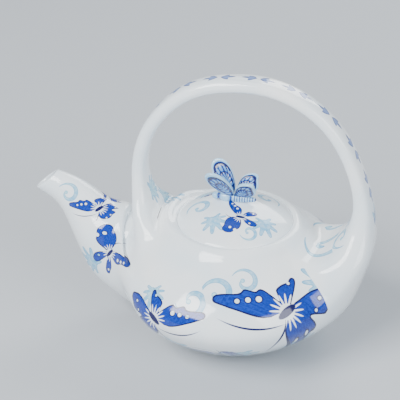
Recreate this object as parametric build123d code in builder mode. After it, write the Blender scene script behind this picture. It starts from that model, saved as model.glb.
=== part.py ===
from build123d import *

import os
from math import cos, radians, sin

# Porcelain teapot: a low thrown bowl, a collar that takes the lid, a swept spout, a hoop handle that
# arches over the lid, and a lid with a butterfly for its knob. Millimetres, +Z up, the pot's axis on Z
# and its foot standing on Z = 0. The spout points along -X and the hoop stands in the XZ plane.

# Foot and bowl
FOOT_R = 34.0  # outer radius of the foot ring
FOOT_INNER_R = 28.5
FOOT_Z = 3.5  # height at which the foot ring meets the bowl
WALL = 4.0  # thrown wall of the bowl
COLLAR_R = 47.0  # where the bowl's wall ends under the collar
COLLAR_Z = 77.0

# Outside of the bowl, from the foot to the collar: radius and height
BOWL_POINTS = [
    (FOOT_R, FOOT_Z),
    (44.2, 6.4),
    (60.0, 17.7),
    (71.6, 28.5),
    (79.2, 41.0),
    (75.8, 54.0),
    (63.0, 66.5),
    (COLLAR_R, COLLAR_Z),
]
BOWL_START = (1.0, 0.1)
BOWL_END = (-1.0, 0.75)
HOLLOW_STEPS = 8  # points on the hollow's outline

# Collar round the lid
RIM_Z = 84.0
RIM_R = 40.4  # crest of the collar
SEAT_R = 38.3  # recess that takes the lid
SEAT_Z = 80.0
MOUTH_R = 34.0  # clear opening under the lid
MOUTH_Z = 73.0  # lower edge of the inner lip

# Lid
LID_R = 37.8
LID_REST_GAP = 0.1  # glaze-thin gap between the lid's edge and its seat
LID_EDGE_Z = 83.6  # top of the lid's upright edge
LID_TOP_Z = 97.0
LID_WALL = 3.2
FLANGE_R = 32.6
FLANGE_WALL = 2.6
FLANGE_DROP = 9.0

# Spout: centre line (x, z), then the section's height in the XZ plane and its width along Y
SPOUT_STATIONS = [
    (-57.0, 34.0, 50.0, 54.0),
    (-74.0, 42.5, 50.0, 50.0),
    (-87.5, 55.0, 44.5, 41.0),
    (-97.5, 69.0, 37.0, 31.5),
    (-105.5, 80.5, 29.5, 24.5),
    (-115.5, 88.8, 23.0, 18.6),
    (-128.0, 94.3, 18.8, 14.0),
    (-142.0, 99.0, 17.0, 12.6),
]
SPOUT_ENTRY = 1  # the station at the bowl's wall
SPOUT_WALL = 3.4  # at the root
SPOUT_LIP = 1.5  # at the lip
LIP_CENTRE = (-129.5, 95.0)
LIP_TILT = 45.0  # the lip's plane faces outwards and up at this angle above the horizontal

# Strainer: the pierced patch of wall behind the spout
STRAINER_R = 13.0
STRAINER_REACH = 20.0  # half the length of the plug that cuts it from the wall
STRAINER_HOLE_R = 1.9
STRAINER_RINGS = ((1, 0.0), (6, 4.8), (12, 9.4))  # number of holes and pitch radius

# Hoop handle: centre line (x, z), then the section's width along Y and its thickness in the XZ plane
HANDLE_STATIONS = [
    (-46.0, 60.0, 78.0, 42.0),
    (-56.5, 78.0, 50.0, 25.0),
    (-61.5, 96.0, 25.0, 12.5),
    (-63.6, 117.0, 16.6, 9.6),
    (-52.0, 151.6, 16.0, 9.4),
    (-22.0, 175.8, 16.0, 9.4),
    (13.5, 180.8, 16.0, 9.4),
    (47.5, 169.2, 16.0, 9.4),
    (69.2, 146.6, 16.0, 9.6),
    (80.6, 121.0, 17.0, 10.6),
    (84.3, 99.0, 22.0, 13.6),
    (79.0, 77.0, 46.0, 27.0),
    (64.0, 57.0, 74.0, 44.0),
]

# Butterfly knob
INSECT_Z = 98.8  # axis of the insect's body, along X
# Half outline of its body from head to tail: distance along X, radius. Both ends are blunt.
INSECT_OUTLINE = [(-14.0, 1.2), (-12.5, 2.6), (-9.0, 2.3), (-4.0, 3.2), (4.0, 2.8), (11.5, 0.8)]
WING_THICK = 2.4
WING_LEAN = 27.0  # each pair leans this far out of the vertical
FOREWING = [(-3.0, 2.0), (-12.0, 7.5), (-17.5, 16.5), (-14.5, 23.5), (-8.0, 22.5), (-2.0, 11.0)]
HINDWING = [(2.0, 2.0), (11.0, 4.5), (14.4, 9.5), (12.5, 15.5), (6.5, 16.5), (1.5, 10.0)]


def write(part, name):
    """Labels a finished sub-part and writes it as one STEP file."""
    part.label = name
    export_step(part, f"parts/{name}.step")


def inside_points(curve, distance, steps):
    """Points at a distance inside an outline that runs anticlockwise, evenly along it."""
    points = []
    for step in range(steps + 1):
        share = step / steps
        inward = (curve % share).rotate(Axis.Z, 90)
        points.append(curve @ share + inward * distance)
    return points


def square_plane(line, x, z):
    """The plane square to a centre line in the XZ plane at one of its points, its X along world Y."""
    share = line.param_at_point(Vector(x, 0, z))
    return Plane(origin=(x, 0, z), x_dir=(0, 1, 0), z_dir=line % share)


os.makedirs("parts", exist_ok=True)

# ---- Foot ring ----
with BuildPart() as foot_ring:
    with BuildSketch(Plane.XZ):
        with BuildLine():
            foot_out = Line((FOOT_R - 1.2, 0), (FOOT_R, FOOT_Z))
            Polyline((FOOT_R, FOOT_Z), (FOOT_INNER_R, FOOT_Z), (FOOT_INNER_R + 1.2, 0), foot_out @ 0)
        make_face()
    revolve(axis=Axis.Z)
write(foot_ring.part, "foot_ring")

# ---- Outline of the bowl and collar, shared by what is luted on to them ----
with BuildLine() as bowl_outline:
    bowl_curve = Spline(*BOWL_POINTS, tangents=(BOWL_START, BOWL_END))
with BuildLine() as collar_outline:
    collar_curve = Spline((COLLAR_R, COLLAR_Z), (44.0, 81.4), (RIM_R, RIM_Z),
                          tangents=(BOWL_END, (-1.0, 0.0)))
HOLLOW_POINTS = inside_points(bowl_curve, WALL, HOLLOW_STEPS)
hollow_foot = HOLLOW_POINTS[0]
hollow_top = HOLLOW_POINTS[-1]

with BuildPart() as pot_filled:
    with BuildSketch(Plane.XZ):
        with BuildLine():
            add(bowl_curve)
            add(collar_curve)
            Polyline(collar_curve @ 1, (0, RIM_Z), (0, FOOT_Z), bowl_curve @ 0)
        make_face()
    revolve(axis=Axis.Z)

# ---- Strainer plug: the round patch of the bowl's wall behind the spout ----
with BuildLine(Plane.XZ) as spout_line:
    spout_curve = Spline(*[(x, z) for x, z, high, wide in SPOUT_STATIONS])
entry_x, entry_z = SPOUT_STATIONS[SPOUT_ENTRY][:2]
entry_plane = square_plane(spout_curve, entry_x, entry_z)

with BuildPart() as strainer_plug:
    with BuildSketch(entry_plane.offset(-STRAINER_REACH)):
        Circle(STRAINER_R)
    extrude(amount=2 * STRAINER_REACH)

# ---- Bowl ----
with BuildPart() as bowl_wall:
    with BuildSketch(Plane.XZ):
        with BuildLine():
            add(bowl_curve)
            Line(bowl_curve @ 1, hollow_top)
            Spline(*reversed(HOLLOW_POINTS))
            Polyline(hollow_foot, (0, hollow_foot.Y), (0, FOOT_Z), bowl_curve @ 0)
        make_face()
    revolve(axis=Axis.Z)

with BuildPart() as bowl:
    add(bowl_wall)
    add(strainer_plug, mode=Mode.SUBTRACT)
write(bowl.part, "bowl")

# ---- Strainer ----
with BuildPart() as strainer:
    add(bowl_wall)
    add(strainer_plug, mode=Mode.INTERSECT)
    with BuildSketch(entry_plane.offset(-STRAINER_REACH)):
        for count, pitch_r in STRAINER_RINGS:
            with PolarLocations(pitch_r, count):
                Circle(STRAINER_HOLE_R)
    extrude(amount=2 * STRAINER_REACH, mode=Mode.SUBTRACT)
write(strainer.part, "strainer")

# ---- Collar with the lid's seat ----
with BuildPart() as collar:
    with BuildSketch(Plane.XZ):
        with BuildLine():
            add(collar_curve)
            Polyline(
                collar_curve @ 1,
                (SEAT_R, RIM_Z - 0.6),
                (SEAT_R, SEAT_Z),
                (MOUTH_R, SEAT_Z),
                (MOUTH_R, MOUTH_Z),
                hollow_top,
                collar_curve @ 0,
            )
        make_face()
    revolve(axis=Axis.Z)
write(collar.part, "collar")

# ---- Spout ----
with BuildPart() as spout_solid:
    for x, z, high, wide in SPOUT_STATIONS:
        with BuildSketch(square_plane(spout_curve, x, z)):
            Ellipse(wide / 2, high / 2)
    loft()

with BuildPart() as spout_bore:
    last = len(SPOUT_STATIONS) - 1
    for index, (x, z, high, wide) in enumerate(SPOUT_STATIONS):
        wall = SPOUT_WALL + (SPOUT_LIP - SPOUT_WALL) * index / last
        with BuildSketch(square_plane(spout_curve, x, z)):
            Ellipse(wide / 2 - wall, high / 2 - wall)
    loft()

lip_plane = Plane(
    origin=(LIP_CENTRE[0], 0, LIP_CENTRE[1]),
    x_dir=(0, 1, 0),
    z_dir=(-cos(radians(LIP_TILT)), 0, sin(radians(LIP_TILT))),
)
with BuildPart() as spout:
    add(spout_solid)
    add(spout_bore, mode=Mode.SUBTRACT)
    add(pot_filled, mode=Mode.SUBTRACT)
    split(bisect_by=lip_plane, keep=Keep.BOTTOM)
write(spout.part, "spout")

# ---- Hoop handle ----
with BuildLine(Plane.XZ) as handle_line:
    handle_curve = Spline(*[(x, z) for x, z, wide, thick in HANDLE_STATIONS])

with BuildPart() as handle:
    for x, z, wide, thick in HANDLE_STATIONS:
        with BuildSketch(square_plane(handle_curve, x, z)):
            Ellipse(wide / 2, thick / 2)
    loft()
    add(pot_filled, mode=Mode.SUBTRACT)
    add(spout_solid, mode=Mode.SUBTRACT)
write(handle.part, "handle")

# ---- Lid ----
lid_rest_z = SEAT_Z + LID_REST_GAP
with BuildPart() as lid_dome:
    with BuildSketch(Plane.XZ):
        with BuildLine():
            Spline((LID_R, LID_EDGE_Z), (30.0, 88.6), (16.0, 94.6), (0, LID_TOP_Z),
                   tangents=((-1.0, 0.4), (-1.0, 0.0)))
            Line((0, LID_TOP_Z), (0, LID_TOP_Z - LID_WALL))
            Spline((0, LID_TOP_Z - LID_WALL), (15.0, 91.4), (FLANGE_R - FLANGE_WALL, lid_rest_z),
                   tangents=((1.0, 0.0), (0.3, -1.0)))
            Polyline((FLANGE_R - FLANGE_WALL, lid_rest_z), (LID_R, lid_rest_z), (LID_R, LID_EDGE_Z))
        make_face()
    revolve(axis=Axis.Z)
write(lid_dome.part, "lid_dome")

with BuildPart() as lid_flange:
    with BuildSketch(Plane.XY.offset(lid_rest_z)):
        Circle(FLANGE_R)
        Circle(FLANGE_R - FLANGE_WALL, mode=Mode.SUBTRACT)
    extrude(amount=-FLANGE_DROP)
    chamfer(lid_flange.faces().sort_by(Axis.Z)[0].edges(), 0.8)
write(lid_flange.part, "lid_flange")

# ---- Butterfly knob: the insect's body along X, and four wings that lean out of it ----
with BuildPart() as insect_solid:
    with BuildSketch(Plane.XZ):
        with BuildLine():
            insect_top = Spline(*[(x, INSECT_Z + z) for x, z in INSECT_OUTLINE])
            Polyline(
                insect_top @ 1,
                (INSECT_OUTLINE[-1][0], INSECT_Z),
                (INSECT_OUTLINE[0][0], INSECT_Z),
                insect_top @ 0,
            )
        make_face()
    revolve(axis=Axis((0, 0, INSECT_Z), (1, 0, 0)))

with BuildPart() as butterfly_body:
    add(insect_solid)
    add(lid_dome, mode=Mode.SUBTRACT)
write(butterfly_body.part, "butterfly_body")

WINGS = {
    "forewing_front": (FOREWING, WING_LEAN),
    "hindwing_front": (HINDWING, WING_LEAN),
    "forewing_back": (FOREWING, -WING_LEAN),
    "hindwing_back": (HINDWING, -WING_LEAN),
}
for name, (outline, lean) in WINGS.items():
    wing_plane = Plane(
        origin=(0, 0, INSECT_Z),
        x_dir=(1, 0, 0),
        z_dir=(0, -cos(radians(lean)), -sin(radians(lean))),
    )
    with BuildPart() as wing:
        with BuildSketch(wing_plane):
            with BuildLine():
                Spline(*outline, periodic=True)
            make_face()
        extrude(amount=WING_THICK / 2, both=True)
        add(insect_solid, mode=Mode.SUBTRACT)
        add(lid_dome, mode=Mode.SUBTRACT)
    write(wing.part, name)
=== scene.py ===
from math import atan2, cos, degrees, hypot, pi, radians, sin

import bmesh
import bpy
from bpy.props import FloatProperty, FloatVectorProperty, PointerProperty
from bpy.types import Operator, Panel, PropertyGroup
from mathutils import Matrix, Vector


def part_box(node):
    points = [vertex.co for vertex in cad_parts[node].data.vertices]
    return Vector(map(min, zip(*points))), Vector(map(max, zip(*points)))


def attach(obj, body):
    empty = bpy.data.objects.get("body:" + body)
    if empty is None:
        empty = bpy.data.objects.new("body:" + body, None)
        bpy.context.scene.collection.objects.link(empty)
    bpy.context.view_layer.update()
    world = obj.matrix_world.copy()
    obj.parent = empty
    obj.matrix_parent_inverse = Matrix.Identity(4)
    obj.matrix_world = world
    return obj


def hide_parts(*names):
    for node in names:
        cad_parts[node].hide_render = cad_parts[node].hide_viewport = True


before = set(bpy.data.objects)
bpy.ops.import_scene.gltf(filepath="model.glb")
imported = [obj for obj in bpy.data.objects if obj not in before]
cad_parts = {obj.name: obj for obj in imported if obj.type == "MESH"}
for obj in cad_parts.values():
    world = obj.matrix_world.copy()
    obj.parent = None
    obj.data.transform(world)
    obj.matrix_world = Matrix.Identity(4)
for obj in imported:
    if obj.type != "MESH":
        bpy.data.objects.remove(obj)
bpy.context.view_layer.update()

bl_info = {
    "name": "Hoop-handled porcelain teapot",
    "version": (1, 0, 0),
    "blender": (4, 5, 0),
    "location": "3D View > Sidebar > Teapot",
    "description": "Builds the glazed pot, its lid and butterfly knob, and the cobalt painting on them",
    "category": "Object",
}

MM = 0.001

# ---- Places taken from the frame, in millimetres ----
BOWL_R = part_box("bowl")[1].x / MM
RIM_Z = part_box("collar")[1].z / MM
LID_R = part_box("lid_dome")[1].x / MM
LID_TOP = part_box("lid_dome")[1].z / MM
LID_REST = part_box("lid_dome")[0].z / MM
FLANGE_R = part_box("lid_flange")[1].x / MM
FLANGE_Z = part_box("lid_flange")[0].z / MM
FOOT_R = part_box("foot_ring")[1].x / MM
FOOT_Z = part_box("foot_ring")[1].z / MM
SEAT_Z = LID_REST - 0.1
SEAT_R = LID_R + 0.5
MOUTH_R = FLANGE_R + 1.4
RIM_R = 40.4  # crest of the collar

# ---- The pot's cage ----
SEGMENTS = 24  # columns round the bowl
SPOUT_HALF_COLUMNS = 3  # half the width of the patch that the spout grows from
FOOT_HALF_COLUMNS = 2  # the same for each foot of the hoop
SMOOTHING = 3  # levels of subdivision
SETTLE_PASSES = 4

# Bowl and collar outside, from the foot's centre up to the mouth, then the inside back down to the
# floor: radius and height
PROFILE = [
    (0.0, FOOT_Z), (20.0, FOOT_Z), (FOOT_R, FOOT_Z + 0.3),
    (45.0, 6.6), (60.2, 17.4), (72.0, 28.6), (BOWL_R, 41.5), (76.0, 54.0), (65.6, 64.6),
    (56.6, 71.2), (51.0, 75.4), (47.0, 78.8), (43.8, 82.2), (RIM_R, RIM_Z), (SEAT_R, RIM_Z - 0.7),
    (SEAT_R, SEAT_Z), (MOUTH_R, SEAT_Z), (MOUTH_R, SEAT_Z - 6.5),
    (46.0, 72.3), (60.5, 60.6), (71.2, 51.5), (75.2, 41.2), (68.2, 31.0), (57.0, 21.0),
    (44.0, 11.4), (32.0, 7.5), (16.0, 7.5), (0.0, 7.5),
]
RING_COLLAR = 11  # first ring of the collar outside
RING_INSIDE = 18  # first ring of the bowl inside
SHARP_RINGS = (14, 15, 16, 17)  # edges of the lid's recess
SHARPNESS = 0.8

SPOUT_RINGS = (3, 7)  # the spout grows between these rings
FOOT_RINGS_LEFT = (8, 10)
FOOT_RINGS_RIGHT = (6, 9)
CAP_STEPS = 5  # rings that close a limb's hidden joint
BOWL_CAP_DEPTH = 1.4  # how far a hidden joint lies under the bowl's surface
LIMB_CAP_DEPTH = 0.9
UNPAINTED_DEPTH = 1.8  # the inside of the bowl, this far in from its skin, has clear glaze only

# Soft rises where clay was worked into the joints: centre, reach and push
SWELLS = [
    ((-72.0, 0.0, 64.0), 32.0, (0.0, 0.0, 24.0)),
    ((-49.0, 0.0, 78.0), 24.0, (0.0, 0.0, 5.0)),
    ((-44.0, 24.0, 78.0), 27.0, (-1.0, 1.0, 4.5)),
    ((-44.0, -24.0, 78.0), 24.0, (-1.0, -1.0, 2.5)),
    ((76.0, -6.0, 50.0), 40.0, (7.0, 0.0, 0.0)),
    ((-66.0, 0.0, 22.0), 34.0, (-8.0, 0.0, -4.0)),
]

# Spout centre line (x, z), height in the XZ plane, width along Y, rise of the flow in degrees
SPOUT = [
    (-79.3, 50.9, 60.0, 50.0, 14.0),
    (-90.1, 61.9, 48.0, 42.0, 33.0),
    (-98.2, 71.6, 35.6, 32.5, 47.0),
    (-106.3, 81.3, 28.4, 24.6, 44.0),
    (-114.6, 88.5, 23.2, 19.2, 34.0),
    (-123.4, 93.0, 19.8, 15.4, 25.0),
    (-130.0, 95.8, 18.0, 13.6, 23.0),
]
SPOUT_WALL = 3.4
LIP_WALL = 1.5
LIP_CENTRE = Vector((-128.6, 0, 94.8))
LIP_TILT = radians(45.0)

# Hoop centre line (x, z), width along Y, thickness in the XZ plane
HOOP = [
    (-59.0, 86.0, 42.0, 15.0),
    (-61.8, 95.5, 28.0, 12.0),
    (-63.2, 107.0, 19.6, 10.2),
    (-62.8, 121.0, 16.8, 9.6),
    (-56.4, 142.5, 16.2, 9.4),
    (-39.4, 164.2, 16.2, 9.4),
    (-14.0, 177.4, 16.2, 9.4),
    (14.0, 179.9, 16.2, 9.4),
    (41.0, 172.2, 16.2, 9.4),
    (60.8, 156.4, 16.2, 9.5),
    (73.8, 135.4, 16.4, 9.9),
    (80.9, 115.5, 18.0, 11.0),
    (83.2, 100.0, 23.5, 14.0),
    (82.3, 86.5, 36.0, 19.5),
    (77.8, 73.5, 56.0, 27.0),
]
HOOP_SPLIT = 7  # stations grown from the left foot; the rest grow from the right foot
HOOP_SQUARENESS = 2.6  # superellipse power of the hoop's section

BOWL, COLLAR, SPOUT_SKIN, HOOP_SKIN = range(4)
LIMB_PIECES = {
    BOWL: ("glazed_bowl", "bowl"),
    COLLAR: ("glazed_collar", "collar"),
    SPOUT_SKIN: ("glazed_spout", "spout"),
    HOOP_SKIN: ("hoop_handle", "handle"),
}


def wrap(angle):
    """An angle brought between -pi and pi."""
    return (angle + pi) % (2 * pi) - pi


def bowl_radius(z):
    """Outside radius of the bowl at a height."""
    rings = PROFILE[2:RING_COLLAR + 2]
    for (r0, z0), (r1, z1) in zip(rings, rings[1:]):
        if z0 <= z <= z1:
            return r0 + (r1 - r0) * (z - z0) / (z1 - z0)
    return rings[0][0] if z < rings[0][1] else rings[-1][0]


def tangent(stations, index):
    """Unit direction of a centre line in the XZ plane at one station."""
    before = stations[max(index - 1, 0)]
    after = stations[min(index + 1, len(stations) - 1)]
    return Vector((after[0] - before[0], 0, after[1] - before[1])).normalized()


def section_point(station, flow, phi, power=2.0, wall=0.0):
    """A point on a limb's section: phi 0 is +Y and pi/2 is the upper or inner side."""
    x, z, high, wide = station
    side = Vector((flow.z, 0, -flow.x))
    c, s = cos(phi), sin(phi)
    across = abs(c) ** (2 / power) * (1 if c > 0 else -1) * (wide / 2 - wall)
    up = abs(s) ** (2 / power) * (1 if s > 0 else -1) * (high / 2 - wall)
    return Vector((x, 0, z)) + Vector((0, across, 0)) + side * up


def open_edges(bm):
    """Each open edge loop of a mesh, as a list of edges."""
    left = {e for e in bm.edges if e.is_boundary}
    loops = []
    while left:
        walk = [left.pop()]
        loop = []
        while walk:
            edge = walk.pop()
            loop.append(edge)
            near = {e for v in edge.verts for e in v.link_edges} & left
            left -= near
            walk.extend(near)
        loops.append(loop)
    return loops


def open_patch(bm, layers, side, rings, half_w):
    """Cuts a limb's patch out of the bowl. Returns its edge loop, whose vertices know their phi."""
    faces = []
    for face in (f for f in bm.faces if f[layers["limb"]] == BOWL):
        centre = face.calc_center_median()
        ring = min(v[layers["ring"]] for v in face.verts)
        away = abs(wrap(atan2(centre.y, centre.x) - side)) * SEGMENTS / (2 * pi)
        if away < half_w and rings[0] <= ring < rings[1]:
            faces.append(face)
    inside = set(faces)
    edges = [e for f in faces for e in f.edges if len([g for g in e.link_faces if g in inside]) == 1]
    half_h = (rings[1] - rings[0]) / 2
    around = 4 * (half_w + half_h)
    facing = 1 if abs(side) < 1 else -1
    for vert in {v for e in edges for v in e.verts}:
        u = round(wrap(atan2(vert.co.y, vert.co.x) - side) * SEGMENTS / (2 * pi)) * facing
        v = vert[layers["ring"]] - rings[0] - half_h
        if u == half_w:
            walk = v
        elif v == half_h:
            walk = half_h + half_w - u
        elif u == -half_w:
            walk = 2 * half_h + 2 * half_w - v
        else:
            walk = 3 * half_h + 3 * half_w + u
        vert[layers["phi"]] = 2 * pi * walk / around
        vert[layers["loose"]] = 1
    bmesh.ops.delete(bm, geom=faces, context="FACES")
    return edges


def grow(bm, layers, edges, limb, place):
    """Extrudes an edge loop by one row and puts each new vertex where place(phi) says."""
    made = bmesh.ops.extrude_edge_only(bm, edges=edges)["geom"]
    fresh = {g for g in made if isinstance(g, bmesh.types.BMVert)}
    for vert in fresh:
        vert.co = place(vert[layers["phi"]])
        vert[layers["loose"]] = 0
    for face in (g for g in made if isinstance(g, bmesh.types.BMFace)):
        face[layers["limb"]] = limb
    return [g for g in made if isinstance(g, bmesh.types.BMEdge) and set(g.verts) <= fresh]


def bowl_cage(bm, layers):
    """Spins the bowl and collar, inside and outside, and marks their rings."""
    verts = [bm.verts.new((r, 0, z)) for r, z in PROFILE]
    for ring, vert in enumerate(verts):
        vert[layers["ring"]] = ring
        vert[layers["loose"]] = 1 if ring in SHARP_RINGS else 0
    edges = [bm.edges.new(pair) for pair in zip(verts, verts[1:])]
    bmesh.ops.spin(bm, geom=verts + edges, cent=(0, 0, 0), axis=(0, 0, 1), angle=2 * pi,
                   steps=SEGMENTS, use_merge=True)
    bmesh.ops.remove_doubles(bm, verts=bm.verts, dist=0.001)
    for face in bm.faces:
        ring = min(v[layers["ring"]] for v in face.verts)
        face[layers["limb"]] = COLLAR if RING_COLLAR <= ring < RING_INSIDE else BOWL
    for edge in bm.edges:
        first, second = (v[layers["ring"]] for v in edge.verts)
        if first == second and first in SHARP_RINGS:
            edge[layers["crease"]] = SHARPNESS
    for centre, reach, push in SWELLS:
        for vert in bm.verts:
            if vert[layers["ring"]] <= RING_COLLAR + 1:
                share = max(0.0, 1 - (vert.co - Vector(centre)).length / reach)
                vert.co += Vector(push) * share * share * (3 - 2 * share)


def spout_flow(index):
    """Unit direction square to the spout's section at one station."""
    rise = radians(SPOUT[index][4])
    return Vector((-cos(rise), 0, sin(rise)))


def lip_cut(point, flow):
    """The point moved along the spout on to the slanted plane of its lip."""
    normal = Vector((-cos(LIP_TILT), 0, sin(LIP_TILT)))
    return point + flow * ((LIP_CENTRE - point).dot(normal) / flow.dot(normal))


def on_bowl(point, depth):
    """The point moved along X on to the spout's side of the bowl, a little under its surface."""
    radius = bowl_radius(point.z) - depth
    return Vector((-max(radius * radius - point.y * point.y, 0.0) ** 0.5, point.y, point.z))


def spout_cage(bm, layers):
    """Grows the spout's outer skin to its slanted lip, then its bore from the lip back to the bowl."""
    edges = open_patch(bm, layers, pi, SPOUT_RINGS, SPOUT_HALF_COLUMNS)
    last = len(SPOUT) - 1
    outward = [(index, False) for index in range(last + 1)]
    back = [(index, True) for index in range(last, -1, -1)]
    for index, inside in outward + back:
        flow = spout_flow(index)
        wall = SPOUT_WALL + (LIP_WALL - SPOUT_WALL) * index / last if inside else 0.0

        def skin(phi, index=index, flow=flow, wall=wall):
            point = section_point(SPOUT[index][:4], flow, phi, wall=wall)
            return lip_cut(point, flow) if index == last else point

        edges = grow(bm, layers, edges, SPOUT_SKIN, skin)

    def root(phi):
        return on_bowl(section_point(SPOUT[0][:4], spout_flow(0), phi, wall=SPOUT_WALL), LIMB_CAP_DEPTH)

    grow(bm, layers, edges, SPOUT_SKIN, root)


def hoop_cage(bm, layers):
    """Grows the hoop up from both feet and joins the two ends."""
    ends = []
    right = range(len(HOOP) - 1, HOOP_SPLIT - 1, -1)
    for side, rings, order in ((pi, FOOT_RINGS_LEFT, range(HOOP_SPLIT)), (0.0, FOOT_RINGS_RIGHT, right)):
        edges = open_patch(bm, layers, side, rings, FOOT_HALF_COLUMNS)
        for index in order:
            x, z, wide, thick = HOOP[index]
            flow = tangent(HOOP, index)

            def skin(phi, station=(x, z, thick, wide), flow=flow):
                return section_point(station, flow, phi, power=HOOP_SQUARENESS)

            edges = grow(bm, layers, edges, HOOP_SKIN, skin)
        ends += edges
    for face in bmesh.ops.bridge_loops(bm, edges=ends)["faces"]:
        face[layers["limb"]] = HOOP_SKIN


def smoothed(bm, levels):
    """The cage after subdivision, as a new mesh whose first vertices are the cage's own."""
    mesh = bpy.data.meshes.new("cage")
    bm.to_mesh(mesh)
    cage = bpy.data.objects.new("cage", mesh)
    bpy.context.scene.collection.objects.link(cage)
    modifier = cage.modifiers.new("Smooth", "SUBSURF")
    modifier.levels = modifier.render_levels = levels
    bpy.context.view_layer.update()
    graph = bpy.context.evaluated_depsgraph_get()
    result = bpy.data.meshes.new_from_object(cage.evaluated_get(graph))
    bpy.data.objects.remove(cage)
    bpy.data.meshes.remove(mesh)
    return result


def settle(bm, layers):
    """Moves the cage until the smooth surface, and not the cage, passes through the stated points."""
    targets = [vert.co.copy() for vert in bm.verts]
    for _ in range(SETTLE_PASSES):
        mesh = smoothed(bm, 1)
        for index, vert in enumerate(bm.verts):
            if not vert[layers["loose"]]:
                vert.co += targets[index] - mesh.vertices[index].co
        bpy.data.meshes.remove(mesh)


def pot_surface():
    """The whole pot as one smooth surface in millimetres, each face marked with the limb it belongs to."""
    bm = bmesh.new()
    layers = {
        "ring": bm.verts.layers.int.new("ring"),
        "phi": bm.verts.layers.float.new("phi"),
        "loose": bm.verts.layers.int.new("loose"),
        "limb": bm.faces.layers.int.new("limb"),
        "crease": bm.edges.layers.float.new("crease_edge"),
    }
    bowl_cage(bm, layers)
    spout_cage(bm, layers)
    hoop_cage(bm, layers)
    bmesh.ops.recalc_face_normals(bm, faces=bm.faces)
    bm.verts.index_update()
    settle(bm, layers)
    mesh = smoothed(bm, SMOOTHING)
    bm.free()
    return mesh


def cap_patch(bm, edges, depth):
    """Closes a limb's rim with rings that shrink to its middle, just under the bowl's surface."""
    rim = {v for e in edges for v in e.verts}
    middle_z = sum(v.co.z for v in rim) / len(rim)
    middle_r = bowl_radius(middle_z) - depth
    side = pi if sum(v.co.x for v in rim) < 0 else 0.0
    for step in range(1, CAP_STEPS + 1):
        made = bmesh.ops.extrude_edge_only(bm, edges=edges)["geom"]
        fresh = {g for g in made if isinstance(g, bmesh.types.BMVert)}
        keep = (CAP_STEPS + 1 - step) / (CAP_STEPS + 2 - step)
        for vert in fresh:
            z = middle_z + (vert.co.z - middle_z) * keep
            angle = side + wrap(atan2(vert.co.y, vert.co.x) - side) * keep
            radius = middle_r + (hypot(vert.co.x, vert.co.y) - middle_r) * keep - (depth if step == 1 else 0)
            vert.co = Vector((radius * cos(angle), radius * sin(angle), z))
        edges = [g for g in made if isinstance(g, bmesh.types.BMEdge) and set(g.verts) <= fresh]
    bmesh.ops.edgeloop_fill(bm, edges=edges)


def close_piece(bm, limb):
    """Closes a limb's open rims, so that it is a solid of its own."""
    loops = sorted(open_edges(bm), key=len, reverse=True)
    if limb != HOOP_SKIN:
        bmesh.ops.bridge_loops(bm, edges=loops[0] + loops[1])
        loops = loops[2:]
    for loop in loops:
        cap_patch(bm, loop, BOWL_CAP_DEPTH if limb == BOWL else LIMB_CAP_DEPTH)


def new_piece(name, bm, body, materials, stands_for=()):
    """Turns a bmesh in millimetres into a finished piece in metres that rides on its body."""
    bmesh.ops.scale(bm, vec=(MM, MM, MM), verts=bm.verts)
    for face in bm.faces:
        face.smooth = True
    mesh = bpy.data.meshes.new(name)
    bm.to_mesh(mesh)
    bm.free()
    piece = bpy.data.objects.new(name, mesh)
    bpy.context.scene.collection.objects.link(piece)
    for material in materials:
        mesh.materials.append(material)
    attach(piece, body)
    if stands_for:
        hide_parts(*stands_for)
    return piece


def keep_seams_smooth(piece, seam):
    """Gives a piece's rim the shading it had while the pot was one surface, so that joints don't show."""
    normals = [(0.0, 0.0, 0.0)] * len(piece.data.vertices)
    for index, vert in enumerate(piece.data.vertices):
        key = tuple(round(c / MM, 2) for c in vert.co)
        if key in seam:
            normals[index] = seam[key]
    piece.data.normals_split_custom_set_from_vertices(normals)


def seam_normals(surface):
    """Normals of the whole pot's surface where two limbs meet, by place."""
    limbs = surface.attributes["limb"].data
    seen = {}
    for face in surface.polygons:
        for index in face.vertices:
            seen.setdefault(index, set()).add(limbs[face.index].value)
    seam = {}
    for index, limb_set in seen.items():
        if len(limb_set) > 1:
            vert = surface.vertices[index]
            seam[tuple(round(c, 2) for c in vert.co)] = tuple(vert.normal)
    return seam


def turned(profile, steps, closed):
    """A shape thrown on the wheel: the profile spun round Z."""
    bm = bmesh.new()
    verts = [bm.verts.new((r, 0, z)) for r, z in profile]
    pairs = list(zip(verts, verts[1:]))
    if closed:
        pairs.append((verts[-1], verts[0]))
    edges = [bm.edges.new(pair) for pair in pairs]
    bmesh.ops.spin(bm, geom=verts + edges, cent=(0, 0, 0), axis=(0, 0, 1), angle=2 * pi,
                   steps=steps, use_merge=True)
    bmesh.ops.remove_doubles(bm, verts=bm.verts, dist=0.001)
    bmesh.ops.recalc_face_normals(bm, faces=bm.faces)
    return bm


def soften_edges(bm, width):
    """Rounds every sharp edge of a turned shape."""
    sharp = [e for e in bm.edges if e.is_manifold and e.calc_face_angle() > radians(30)]
    bmesh.ops.bevel(bm, geom=sharp, offset=width, offset_type="OFFSET", segments=3, profile=0.5,
                    affect="EDGES", material=-1)


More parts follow.
